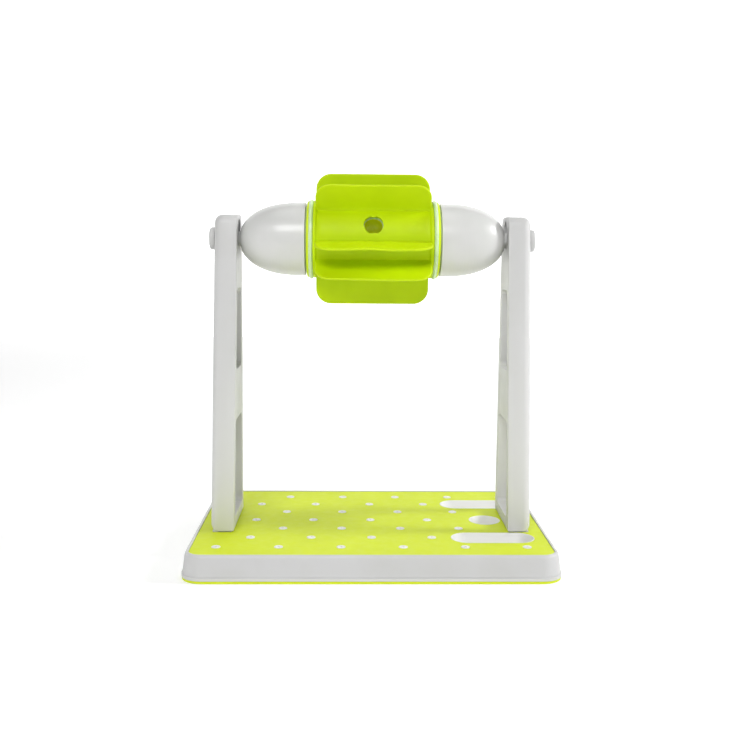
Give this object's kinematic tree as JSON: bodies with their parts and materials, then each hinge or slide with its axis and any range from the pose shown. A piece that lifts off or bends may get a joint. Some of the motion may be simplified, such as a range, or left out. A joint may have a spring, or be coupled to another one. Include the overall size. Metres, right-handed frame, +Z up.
{
  "type": "pet treat roller stand",
  "caption": "Treat dispensing drum with soft paddles, turning on pull-out pins between two slotted uprights above a studded catch mat.",
  "frame": {"origin": "on the floor, under the middle of the base", "axes": "+X along the drum axis to the side with the troughs, +Y to the back, +Z up"},
  "size_m": [0.265, 0.178, 0.2852],
  "materials": {
    "white_shell": "satin",
    "cap_gloss": "gloss",
    "natural_plastic": "translucent satin",
    "mat_rubber": "matte",
    "paddle_rubber": "satin",
    "screw_steel": "plain",
    "ring_rubber": "matte"
  },
  "bodies": {
    "stand": {"base_sole": "mat_rubber", "sole_screws": "screw_steel", "base_shell": "white_shell", "base_mat": "mat_rubber", "mat_studs": "white_shell", "trough_front": "white_shell", "trough_rear": "white_shell", "treat_dish": "white_shell", "upright_left": "white_shell", "upright_right": "white_shell", "upright_screws": "screw_steel"},
    "drum": {"core_tube": "natural_plastic", "paddle_sleeve": "paddle_rubber", "seal_left": "paddle_rubber", "seal_right": "paddle_rubber"},
    "cap_left": {"end_cap_left": "cap_gloss", "bush_left": "white_shell"},
    "cap_right": {"end_cap_right": "cap_gloss", "bush_right": "white_shell"},
    "pin_left": {"axle_pin_left": "white_shell", "pin_ring_left": "ring_rubber"},
    "pin_right": {"axle_pin_right": "white_shell", "pin_ring_right": "ring_rubber"}
  },
  "joints": [
    {"name": "drum_spin", "type": "hinge", "parent": "stand", "child": "drum", "pos_m": [0, 0, 0.2355], "axis": [1, 0, 0], "continuous": true},
    {"name": "cap_left_twist", "type": "hinge", "parent": "drum", "child": "cap_left", "pos_m": [-0.06, 0, 0.2355], "axis": [1, 0, 0], "range_deg": [0, 40]},
    {"name": "cap_right_twist", "type": "hinge", "parent": "drum", "child": "cap_right", "pos_m": [0.06, 0, 0.2355], "axis": [-1, 0, 0], "range_deg": [0, 40]},
    {"name": "pin_left_pull", "type": "slide", "parent": "stand", "child": "pin_left", "axis": [-1, 0, 0], "range_m": [0, 0.03]},
    {"name": "pin_right_pull", "type": "slide", "parent": "stand", "child": "pin_right", "axis": [1, 0, 0], "range_m": [0, 0.03]}
  ]
}
